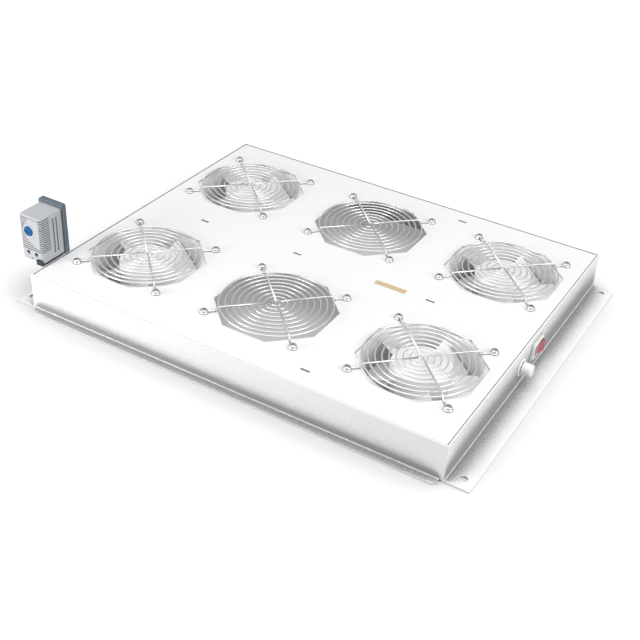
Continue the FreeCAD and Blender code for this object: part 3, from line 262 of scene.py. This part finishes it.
def make_materials():
    """One material for each material slot of the record, and some for the scene's own pieces."""
    return {
        # the tray: painted shade in its folds, inner corners and seams, and painted light where it faces up
        "tray_paint": paint_seam_shade(powder_coat("tray_paint", (0.85, 0.855, 0.86), (0.29, 0.29, 0.295)), 2.5),
        "fan_casting": surface("fan_casting", (0.82, 0.82, 0.81), 0.5, spread=0.08, patch=9, grain=0.7,
                               bump=0.05),
        "rotor_plastic": surface("rotor_plastic", (0.93, 0.93, 0.925), 0.42, spread=0.03, patch=25,
                                 grain=0.6),
        "shaft_steel": surface("shaft_steel", (0.6, 0.6, 0.6), 0.25, 1.0, stretch=(1, 1, 12)),
        "stator_steel": surface("stator_steel", (0.22, 0.2, 0.18), 0.5, 0.6, 0.3, 4, 0.5, 0.1, (1, 1, 9)),
        "bearing_bronze": surface("bearing_bronze", (0.5, 0.34, 0.16), 0.35, 1.0, 0.1, 3),
        "guard_wire": surface("guard_wire", (0.88, 0.89, 0.91), 0.34, 1.0, 0.08, 6, 0.4, 0.01),
        "fastener_steel": surface("fastener_steel", (0.66, 0.66, 0.65), 0.3, 1.0, 0.12, 2.5, 0.25, 0.02),
        # the switch, rocker, fuse holder and thermostat: painted shade in their seams and recesses
        "switch_shell": paint_seam_shade(surface("switch_shell", (0.60, 0.67, 0.62), 0.38, spread=0.04, patch=8,
                                             grain=0.35), 1.5),
        "rocker_red": paint_seam_shade(surface("rocker_red", (0.34, 0.03, 0.05), 0.2, spread=0.15, patch=7,
                                           grain=0.8, bump=0.004, coat=0.4), 4.0, 0.7),
        "fuse_plastic": paint_seam_shade(surface("fuse_plastic", (0.84, 0.84, 0.83), 0.3, spread=0.04, patch=7,
                                             grain=0.4, coat=0.3), 1.2, 0.6),
        "thermostat_shell": paint_seam_shade(surface("thermostat_shell", (0.46, 0.475, 0.50), 0.5, spread=0.03,
                                                 patch=14, grain=0.35, bump=0.03), 2.0),
        "thermostat_rear": surface("thermostat_rear", (0.11, 0.14, 0.17), 0.5, spread=0.06, patch=14,
                                   grain=0.35, bump=0.03),
        "dial_blue": surface("dial_blue", (0.003, 0.085, 0.24), 0.4, spread=0.08, patch=4, grain=0.3,
                             specular=0.3),
        "bracket_black": surface("bracket_black", (0.014, 0.014, 0.015), 0.42, spread=0.2, patch=12,
                                 grain=0.6, bump=0.03),
        "gland_plastic": surface("gland_plastic", (0.07, 0.07, 0.07), 0.5, spread=0.1, patch=6, grain=0.4),
        "label_tan": surface("label_tan", (0.62, 0.47, 0.27), 0.6, spread=0.08, patch=5, grain=0.3,
                             bump=0.01),
        # white rim: a painted highlight on the switch's raised rim
        "rim_highlight": surface("rim_highlight", (0.88, 0.89, 0.88), 0.3, spread=0.02, patch=6, grain=0.3,
                             coat=0.4),
        "label_white": surface("label_white", (0.47, 0.475, 0.49), 0.45, spread=0.03, patch=6, grain=0.3,
                               bump=0.01),
        # dark bead: a painted shadow in the groove along the plate's right edge
        "seam_shadow": surface("seam_shadow", (0.07, 0.07, 0.073), 0.6, spread=0.15, patch=9, grain=0.5,
                             bump=0.02),
        "halo_blue": surface("halo_blue", (0.44, 0.56, 0.68), 0.45, spread=0.05, patch=3, grain=0.3,
                             bump=0.01),
        "print_grey": surface("print_grey", (0.16, 0.17, 0.19), 0.5, spread=0.1, patch=2, grain=0.2,
                              bump=0.005),
    }


def dress_nodes(materials):
    """Give every CAD node the material of its slot in the record."""
    for entry in frame["record"]["subparts"]:
        node = frame["nodes"][entry["node"]]
        material = materials[entry["material_slot"]]
        if not node.material_slots:
            node.data.materials.append(material)
        for held in node.material_slots:
            held.material = material


# meshes and objects
def mesh_data(name, mesh):
    """Mesh data with the mesh's shape; the mesh itself is freed."""
    data = bpy.data.meshes.new(name)
    mesh.to_mesh(data)
    mesh.free()
    return data


def in_scene(name, data):
    """A new object with that data, in the scene."""
    made = bpy.data.objects.new(name, data)
    bpy.context.scene.collection.objects.link(made)
    return made


def sharpen(piece, angle=35):
    """Keep edges above that angle sharp on a smooth-shaded piece."""
    mesh = bmesh.new()
    mesh.from_mesh(piece.data)
    for edge in mesh.edges:
        edge.smooth = not (len(edge.link_faces) == 2 and edge.calc_face_angle(0) > math.radians(angle))
    mesh.to_mesh(piece.data)
    mesh.free()


def mesh_piece(name, mesh, material, body, has_edges=True):
    """A smooth-shaded piece of the object that rides on a body, with its edges sharp if it has any."""
    data = mesh_data(name, mesh)
    for face in data.polygons:
        face.use_smooth = True
    data.materials.append(material)
    piece = in_scene(name, data)
    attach(piece, body)
    if has_edges:
        sharpen(piece)
    return piece


def placed(data, matrix):
    """A mesh to work on, copied from mesh data and moved."""
    mesh = bmesh.new()
    mesh.from_mesh(data)
    bmesh.ops.transform(mesh, matrix=matrix, verts=mesh.verts)
    return mesh


def move_new(mesh, known, matrix):
    """Move the vertices that were made after the first known ones."""
    mesh.verts.ensure_lookup_table()
    bmesh.ops.transform(mesh, matrix=matrix, verts=mesh.verts[known:])


def carved(body, cutter):
    """Mesh data of the body with the cutter taken out of it."""
    bmesh.ops.recalc_face_normals(body, faces=body.faces)
    bmesh.ops.recalc_face_normals(cutter, faces=cutter.faces)
    target, tool = in_scene("body", mesh_data("body", body)), in_scene("tool", mesh_data("tool", cutter))
    cut = target.modifiers.new("cut", "BOOLEAN")
    cut.object = tool
    cut.solver = "EXACT"
    cut.use_self = True
    finished = bpy.data.meshes.new_from_object(target.evaluated_get(bpy.context.evaluated_depsgraph_get()))
    for made in (target, tool):
        bpy.data.objects.remove(made)
    return finished


# shapes
def bridge(mesh, near, far):
    """A band of faces between two closed rows of vertices."""
    for step in range(len(near)):
        after = (step + 1) % len(near)
        mesh.faces.new((near[step], near[after], far[after], far[step]))


def circle_points(radius, level, count, centre=(0, 0)):
    """That many points round a level circle."""
    return [(centre[0] + radius * math.cos(2 * math.pi * step / count),
             centre[1] + radius * math.sin(2 * math.pi * step / count), level) for step in range(count)]


def tube(mesh, points, radius, sides=10, closed=False):
    """Sweep a round wire along the points, in millimetres, with flat ends when open."""
    points = [Vector(point) * MM for point in points]
    radius = radius * MM
    count = len(points)
    turns = [2 * math.pi * step / sides for step in range(sides)]
    rings = []
    side = None
    for number, point in enumerate(points):
        ahead = points[(number + 1) % count] if closed or number + 1 < count else point
        behind = points[number - 1] if closed or number > 0 else point
        along = (ahead - behind).normalized()
        if side is None:
            side = along.orthogonal().normalized()
        side = (side - along * side.dot(along)).normalized()
        other = along.cross(side)
        rings.append([mesh.verts.new(point + (side * math.cos(turn) + other * math.sin(turn)) * radius)
                      for turn in turns])
    for near, far in zip(rings, rings[1:]):
        bridge(mesh, near, far)
    if closed:
        bridge(mesh, rings[-1], rings[0])
    else:
        mesh.faces.new(list(reversed(rings[0])))
        mesh.faces.new(rings[-1])


def lathe(mesh, profile, steps=28):
    """Turn (radius, height) pairs about the Z axis, in millimetres; radius 0 makes a tip."""
    rings = []
    for radius, height in profile:
        points = circle_points(radius, height, steps) if radius else [(0, 0, height)]
        rings.append([mesh.verts.new(Vector(point) * MM) for point in points])
    for near, far in zip(rings, rings[1:]):
        if len(near) == len(far):
            bridge(mesh, near, far)
            continue
        for step in range(steps):
            after = (step + 1) % steps
            if len(near) == 1:
                mesh.faces.new((near[0], far[after], far[step]))
            else:
                mesh.faces.new((near[step], near[after], far[0]))


def block(mesh, low, high):
    """An axis-aligned box between two corners, in millimetres."""
    low, high = Vector(low) * MM, Vector(high) * MM
    for vertex in bmesh.ops.create_cube(mesh, size=1.0)["verts"]:
        share = vertex.co + Vector((0.5, 0.5, 0.5))
        vertex.co = Vector(low[axis] + (high[axis] - low[axis]) * share[axis] for axis in range(3))


def rounded_rectangle(half_y, half_z, radius, steps=5):
    """The points of a rectangle with round corners, round its middle."""
    points = []
    for quarter, (side_y, side_z) in enumerate(((1, 1), (-1, 1), (-1, -1), (1, -1))):
        for step in range(steps + 1):
            turn = math.pi / 2 * (quarter + step / steps)
            points.append((side_y * (half_y - radius) + radius * math.cos(turn),
                           side_z * (half_z - radius) + radius * math.sin(turn)))
    return points


def front_plate(mesh, outline, face, thickness):
    """A thin plate over an (x, z) outline, whose front lies at y = face, in millimetres."""
    front = [mesh.verts.new(Vector((x, face, z)) * MM) for x, z in outline]
    rear = [mesh.verts.new(Vector((x, face + thickness, z)) * MM) for x, z in outline]
    mesh.faces.new(front)
    mesh.faces.new(list(reversed(rear)))
    bridge(mesh, rear, front)


def ring_plate(mesh, centre, inner, outer, face, thickness, steps=48):
    """A flat ring round a centre, facing -Y."""
    for step in range(steps):
        turns = [2 * math.pi * (step + share) / steps for share in (0, 1)]
        ends = ((inner, turns[0]), (outer, turns[0]), (outer, turns[1]), (inner, turns[1]))
        corners = [(centre[0] + radius * math.cos(turn), centre[1] + radius * math.sin(turn))
                   for radius, turn in ends]
        front_plate(mesh, corners, face, thickness)


# wire guards and their screws
def guard_rod(mesh, turn, inner):
    """One rod from near the centre, over the rings, down its step and round its eye."""
    low = ROD_WIRE / 2
    over = RING_LIFT + RING_WIRE + ROD_WIRE / 2
    last = RING_FIRST + RING_PITCH * (RING_COUNT - 1) + RING_WIRE
    foot = last + ROD_STEP
    loop = (EYE_WIDTH - ROD_WIRE) / 2
    path = [(inner, 0, over), (last - ROD_SHOULDER, 0, over), (last - ROD_BEND, 0, over - ROD_EASE),
            (foot - ROD_HEEL, 0, low + ROD_EASE), (foot + ROD_BEND, 0, low),
            (EYE_OUT - loop - EYE_NECK, 0, low)]
    for step in range(1, EYE_STEPS):
        angle = math.pi + 2 * math.pi * step / EYE_STEPS
        path.append((EYE_OUT + loop * math.cos(angle), loop * math.sin(angle), low))
    cosine, sine = math.cos(turn), math.sin(turn)
    tube(mesh, [(x * cosine - y * sine, x * sine + y * cosine, z) for x, y, z in path], ROD_WIRE / 2)


def make_guard(key, materials):
    """Welded rings under one whole rod and two half rods, each end bent to an eye."""
    mesh = bmesh.new()
    for number in range(RING_COUNT):
        circle = circle_points(RING_FIRST + RING_PITCH * number, RING_LIFT + RING_WIRE / 2,
                               RING_STEPS + RING_MORE_STEPS * number)
        tube(mesh, circle, RING_WIRE / 2, closed=True)
    for quarter in range(4):
        inner = 0.0 if quarter % 2 else RING_FIRST - RING_WIRE / 2
        guard_rod(mesh, math.radians(45 + 90 * quarter), inner)
    x, y = HOLES[key]
    bmesh.ops.translate(mesh, verts=mesh.verts, vec=Vector((x, y, PLATE_TOP)) * MM)
    piece = mesh_piece(f"wire_guard_{key}", mesh, materials["guard_wire"], "tray",
                       has_edges=False)
    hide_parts(f"finger_guard_{key}")


def screw_head():
    """A pan head with a cross recess, as mesh data with its seat at z 0."""
    head, cross = bmesh.new(), bmesh.new()
    lathe(head, SCREW_HEAD)
    long_half, short_half = CROSS_LENGTH / 2, CROSS_WIDTH / 2
    for x, y, lift in ((long_half, short_half, 0.0), (short_half, long_half, 0.01)):
        block(cross, (-x, -y, CROSS_FLOOR + lift), (x, y, CROSS_TOP + lift))
    return carved(head, cross)


def make_screws(materials):
    """The guards' screws: a recessed head on each eye, and a shank to below its nut."""
    head = screw_head()
    mesh = bmesh.new()
    number = 0
    for x, y in HOLES.values():
        for side_x, side_y in CORNERS:
            seat = (x + side_x * FIXING_PITCH / 2, y + side_y * FIXING_PITCH / 2, PLATE_TOP + ROD_WIRE)
            turn = Matrix.Rotation(number * SCREW_TURN, 4, "Z")
            made = placed(head, Matrix.Identity(4))
            lathe(made, SCREW_SHANK, 16)
            move_new(made, 0, Matrix.Translation(Vector(seat) * MM) @ turn)
            mesh.from_mesh(mesh_data("screw", made))
            number += 1
    piece = mesh_piece("guard_screw_set", mesh, materials["fastener_steel"], "tray")
    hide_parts("guard_screws")


# fans
def frame_edge(turn):
    """How far the square outline with its cut corners lies from the fan's middle, that way."""
    x, y = abs(math.cos(turn)), abs(math.sin(turn))
    return min(FAN_HALF / max(x, y), (FAN_HALF * 2 - FAN_CORNER) / (x + y))


def frame_shell(mesh):
    """Two square flanges on a round duct with rounded lips, as one closed skin."""
    corner = math.atan2(FAN_HALF - FAN_CORNER, FAN_HALF)
    turns = [2 * math.pi * step / DUCT_STEPS for step in range(DUCT_STEPS)]
    for quarter in range(4):
        turns += [math.pi / 2 * quarter + corner, math.pi / 2 * (quarter + 1) - corner]
    turns.sort()
    square = None
    barrel, lip = DUCT_RADIUS + BARREL_WALL, DUCT_RADIUS + DUCT_LIP
    skin = ((square, 0), (square, FAN_FLANGE), (barrel, FAN_FLANGE), (barrel, FAN_DEPTH - FAN_FLANGE),
            (square, FAN_DEPTH - FAN_FLANGE), (square, FAN_DEPTH), (lip, FAN_DEPTH),
            (DUCT_RADIUS + LIP_EASE, FAN_DEPTH - LIP_EASE), (DUCT_RADIUS, FAN_DEPTH - DUCT_LIP),
            (DUCT_RADIUS, DUCT_LIP), (DUCT_RADIUS + LIP_EASE, LIP_EASE), (lip, 0))
    rings = []
    for reach, level in skin:
        outs = [reach or frame_edge(turn) for turn in turns]
        rings.append([mesh.verts.new(Vector((out * math.cos(turn), out * math.sin(turn), level)) * MM)
                      for out, turn in zip(outs, turns)])
    for number, ring in enumerate(rings):
        bridge(mesh, rings[number - 1], ring)


def frame_mesh():
    """A fan's frame: its shell with corner holes, and the motor seat and tube on four struts."""
    shell, holes = bmesh.new(), bmesh.new()
    frame_shell(shell)
    low, high = -HOLE_OVERRUN, FAN_DEPTH + HOLE_OVERRUN
    for x, y in CORNERS:
        known = len(holes.verts)
        lathe(holes, ((0, low), (FAN_HOLE, low), (FAN_HOLE, high), (0, high)), 20)
        move_new(holes, known, Matrix.Translation(Vector((x, y, 0)) * FIXING_PITCH / 2 * MM))
    mesh = placed(carved(shell, holes), Matrix.Identity(4))
    for quarter in range(4):
        known = len(mesh.verts)
        block(mesh, (SEAT_RADIUS - STRUT_INTO_SEAT, -STRUT_WIDTH / 2, 0),
              (DUCT_RADIUS + STRUT_INTO_DUCT, STRUT_WIDTH / 2, STRUT_THICKNESS))
        mesh.verts.ensure_lookup_table()
        edges = list({edge for vertex in mesh.verts[known:] for edge in vertex.link_edges})
        bmesh.ops.bevel(mesh, geom=edges, offset=STRUT_ROUND * MM, segments=2, affect="EDGES", profile=0.5)
        move_new(mesh, known, Matrix.Rotation(math.pi / 2 * quarter, 4, "Z"))
    top, rim, shoulder = STRUT_THICKNESS, SEAT_RADIUS - SEAT_ROUND, SEAT_RADIUS - SEAT_EASE
    lathe(mesh, ((0, 0), (rim, 0), (shoulder, SEAT_EASE), (SEAT_RADIUS, SEAT_ROUND),
                 (SEAT_RADIUS, top - SEAT_ROUND), (shoulder, top - SEAT_EASE), (rim, top),
                 (TUBE_RADIUS, top), (TUBE_RADIUS, TUBE_TOP), (TUBE_BORE, TUBE_TOP),
                 (TUBE_BORE, TUBE_FLOOR), (0, TUBE_FLOOR)), DUCT_STEPS)
    return mesh


def blade(mesh):
    """One blade along +X: thin bowed sections, wider towards the tip, whose ends follow circles."""
    rings = []
    turns = [math.pi * step / BLADE_STEPS for step in range(BLADE_STEPS + 1)]
    for share, trim in BLADE_STATIONS:
        out = HUB_RADIUS - BLADE_SINK + (BLADE_TIP - HUB_RADIUS + BLADE_SINK) * share
        half = (ROOT_CHORD + (TIP_CHORD - ROOT_CHORD) * share) / TIP_CHORD / 2 * trim
        upper, under = [], []
        for turn in turns:
            step = -half * math.cos(turn)
            bow = BLADE_BOW * (1 - 4 * step * step)
            along = TIP_CHORD * (step + BLADE_SLOPE * bow)
            thick = BLADE_EDGE + (BLADE_THICKNESS - BLADE_EDGE) * math.sin(turn)
            low = BLADE_MIDDLE + TIP_CHORD * (BLADE_SLOPE * step - bow) + (BLADE_THICKNESS - thick) / 2
            x = math.sqrt(out * out - along * along)
            upper.append(mesh.verts.new(Vector((x, along, low + thick)) * MM))
            under.append(mesh.verts.new(Vector((x, along, low)) * MM))
        rings.append(upper + under[::-1])
    for near, far in zip(rings, rings[1:]):
        bridge(mesh, near, far)
    mesh.faces.new(rings[0])
    mesh.faces.new(rings[-1])


def rotor_mesh():
    """A round cup hub with its shaft boss, and the blades that stand on it."""
    mesh = bmesh.new()
    inside, under, cap = HUB_RADIUS - HUB_WALL, HUB_TOP - HUB_CROWN, HUB_TOP - BOSS_CAP
    lathe(mesh, ((0, HUB_TOP), (HUB_RADIUS - HUB_ROUND, HUB_TOP),
                 (HUB_RADIUS - HUB_ROUND / 2, HUB_TOP - HUB_EASE),
                 (HUB_RADIUS - HUB_EASE, HUB_TOP - HUB_ROUND / 2), (HUB_RADIUS, HUB_TOP - HUB_ROUND),
                 (HUB_RADIUS, HUB_LOW), (inside, HUB_LOW), (inside, under), (BOSS_RADIUS, under),
                 (BOSS_RADIUS, under - BOSS_DEPTH), (BOSS_BORE, under - BOSS_DEPTH), (BOSS_BORE, cap),
                 (0, cap)), DUCT_STEPS)
    for number in range(BLADES):
        known = len(mesh.verts)
        blade(mesh)
        move_new(mesh, known, Matrix.Rotation(2 * math.pi * number / BLADES, 4, "Z"))
    return mesh


def make_fans(materials):
    """The four fans' frames and rotors, each pair from the same two meshes."""
    shapes = {}
    for kind, made in (("frame", frame_mesh()), ("rotor", rotor_mesh())):
        bmesh.ops.recalc_face_normals(made, faces=made.faces)
        shapes[kind] = mesh_data(kind, made)
    for key in FANS:
        place = Matrix.Translation(Vector((*HOLES[key], FAN_BASE)) * MM)
        for kind, body, slot in (("frame", "tray", "fan_casting"),
                                 ("rotor", f"rotor_{key}", "rotor_plastic")):
            mesh = placed(shapes[kind], place)
            piece = mesh_piece(f"round_{kind}_{key}", mesh, materials[slot], body)
            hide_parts(f"fan_{kind}_{key}")


# right wall
def make_switch_rim(materials):
    """The raised rim round the switch's window, on the bezel, white as a painted highlight where it catches
    the light.
    """
    mesh = bmesh.new()
    rings = []
    for grow, out in SWITCH_RIM:
        outline = rounded_rectangle(WINDOW_LENGTH / 2 + grow, WINDOW_HEIGHT / 2 + grow, WINDOW_CORNER + grow)
        rings.append([mesh.verts.new(Vector((BEZEL_FACE + out, SWITCH_Y + y, SWITCH_Z + z)) * MM)
                      for y, z in outline])
    for number, ring in enumerate(rings):
        bridge(mesh, rings[number - 1], ring)
    bmesh.ops.recalc_face_normals(mesh, faces=mesh.faces)
    mesh_piece("switch_rim", mesh, materials["rim_highlight"], "tray")


def make_groove_shadow(materials):
    """A dark bead in the groove between the top plate and the right wall: a painted shadow in that groove.
    """
    mesh = bmesh.new()
    tube(mesh, [(BEAD_X, y, BEAD_Z) for y in (-BEAD_END, BEAD_END)], BEAD_RADIUS, sides=14)
    bmesh.ops.recalc_face_normals(mesh, faces=mesh.faces)
    mesh_piece("plate_groove_shadow", mesh, materials["seam_shadow"], "tray")


def make_fuse_grip(materials):
    """The fuse holder's cap: a rounded grip with a driver slot, on its stem."""
    grip, slot = bmesh.new(), bmesh.new()
    lathe(grip, FUSE_GRIP, 40)
    half_width, half_length = GRIP_SLOT_WIDTH / 2, GRIP_SLOT_LENGTH / 2
    block(slot, (-half_width, -half_length, GRIP_SLOT_FLOOR), (half_width, half_length, GRIP_SLOT_TOP))
    turn = Matrix.Translation(Vector((WALL_X, FUSE_Y, FUSE_Z)) * MM) @ Matrix.Rotation(math.pi / 2, 4, "Y")
    piece = mesh_piece("fuse_grip", placed(carved(grip, slot), turn), materials["fuse_plastic"], "fuse_knob")
    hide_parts("fuse_cap")


# thermostat
def make_label(materials):
    """The bare pale label on the thermostat's front."""
    mesh = bmesh.new()
    outline = [(THERMO_LEFT + across, THERMO_FOOT + up) for across, up in LABEL_OUTLINE]
    front_plate(mesh, outline, THERMO_FRONT - LABEL_PROUD, LABEL_THICKNESS)
    mesh_piece("thermostat_label", mesh, materials["label_white"], "tray")


def make_dial_print(materials):
    """A halo round the thermostat's dial, and plain ticks round the halo, every second one shorter."""
    centre = (THERMO_LEFT + DIAL_ACROSS, THERMO_FOOT + DIAL_UP)
    rim, face = DIAL_WIDTH / 2, THERMO_FRONT - PRINT_PROUD
    mesh = bmesh.new()
    ring_plate(mesh, centre, rim + HALO_START, rim + HALO_END, face, PRINT_THICKNESS)
    mesh_piece("dial_halo", mesh, materials["halo_blue"], "tray")
    mesh = bmesh.new()
    for number in range(TICKS):
        turn = math.radians(90 - TICK_SWEEP / 2 + TICK_SWEEP * number / (TICKS - 1))
        out, across = Vector((math.cos(turn), math.sin(turn))), Vector((-math.sin(turn), math.cos(turn)))
        inner, outer = rim + TICK_START, rim + (TICK_END if number % 2 else LONG_TICK_END)
        corners = [Vector(centre) + out * reach + across * side * TICK_HALF_WIDTH
                   for reach, side in ((inner, -1), (outer, -1), (outer, 1), (inner, 1))]
        front_plate(mesh, corners, face, PRINT_THICKNESS)
    mesh_piece("dial_ticks", mesh, materials["print_grey"], "tray")


# stage
def white_to_camera(material, strength):
    """Add light that only camera and mirror rays see: near white, and less under the object."""
    nodes, links = material.node_tree.nodes, material.node_tree.links
    shader = nodes["Principled BSDF"]
    path = nodes.new("ShaderNodeLightPath")
    seen = nodes.new("ShaderNodeMath")
    seen.operation = "MAXIMUM"
    glow = nodes.new("ShaderNodeMath")
    glow.operation = "MULTIPLY"
    glow.inputs[1].default_value = strength
    links.new(path.outputs["Is Camera Ray"], seen.inputs[0])
    links.new(path.outputs["Is Glossy Ray"], seen.inputs[1])
    links.new(seen.outputs["Value"], glow.inputs[0])
    links.new(glow.outputs["Value"], shader.inputs["Emission Strength"])
    around = openness(nodes, FLOOR_SHADE_REACH)
    links.new(map_range(nodes, links, around, FLOOR_SHADE_FULL, 1.0, FLOOR_SHADE, 1.0),
              shader.inputs["Emission Color"])


def make_floor():
    """The plain pale floor, just under the object."""
    mesh = bmesh.new()
    bmesh.ops.create_grid(mesh, x_segments=2, y_segments=2, size=FLOOR_HALF * MM)
    floor = in_scene("floor", mesh_data("floor", mesh))
    material = surface("floor_white", (0.45, 0.45, 0.45), 0.9, spread=0.0, patch=200, grain=4, bump=0.0,
                       specular=0.0)
    white_to_camera(material, FLOOR_GLOW)
    floor.data.materials.append(material)
    floor.location.z = FLOOR_LEVEL * MM


def make_world():
    """White to the camera; as a light it is brighter at the left and above, and dimmer at the right."""
    world = bpy.data.worlds.new("studio")
    bpy.context.scene.world = world
    world.use_nodes = True
    nodes, links = world.node_tree.nodes, world.node_tree.links
    background = nodes["Background"]
    coords = nodes.new("ShaderNodeTexCoord")
    side = nodes.new("ShaderNodeVectorMath")
    side.operation = "DOT_PRODUCT"
    side.inputs[1].default_value = BRIGHT_SIDE
    path = nodes.new("ShaderNodeLightPath")
    strength = nodes.new("ShaderNodeMix")
    strength.inputs["B"].default_value = 1.0
    background.inputs["Color"].default_value = (1, 1, 1, 1)
    links.new(coords.outputs["Generated"], side.inputs[0])
    links.new(path.outputs["Is Camera Ray"], strength.inputs["Factor"])
    links.new(map_range(nodes, links, side.outputs["Value"], -1.0, 1.0, SKY_DIM, SKY_BRIGHT),
              strength.inputs["A"])
    links.new(strength.outputs["Result"], background.inputs["Strength"])


def area_lamp(name, place, target, size, power):
    """A round lamp that shines from its place towards its target."""
    data = bpy.data.lights.new(name, "AREA")
    data.shape = "DISK"
    data.size = size
    data.energy = power
    lamp = in_scene(name, data)
    lamp.location = place
    lamp.rotation_mode = "QUATERNION"
    lamp.rotation_quaternion = (Vector(target) - Vector(place)).to_track_quat("-Z", "Y")


def make_camera():
    """The camera at the photograph's viewing angle."""
    data = bpy.data.cameras.new("camera")
    data.sensor_width = CAMERA_SENSOR
    data.lens = CAMERA_LENS
    data.clip_end = CAMERA_REACH
    camera = in_scene("camera", data)
    camera.location = CAMERA_PLACE
    camera.rotation_euler = [math.radians(angle) for angle in CAMERA_TURN]
    bpy.context.scene.camera = camera


materials = make_materials()
dress_nodes(materials)
for key in HOLES:
    make_guard(key, materials)
make_screws(materials)
make_fans(materials)
make_switch_rim(materials)
make_groove_shadow(materials)
make_fuse_grip(materials)
make_label(materials)
make_dial_print(materials)

make_floor()
make_world()
for lamp in LAMPS:
    area_lamp(*lamp)
make_camera()
bpy.context.scene.view_settings.view_transform = "Standard"
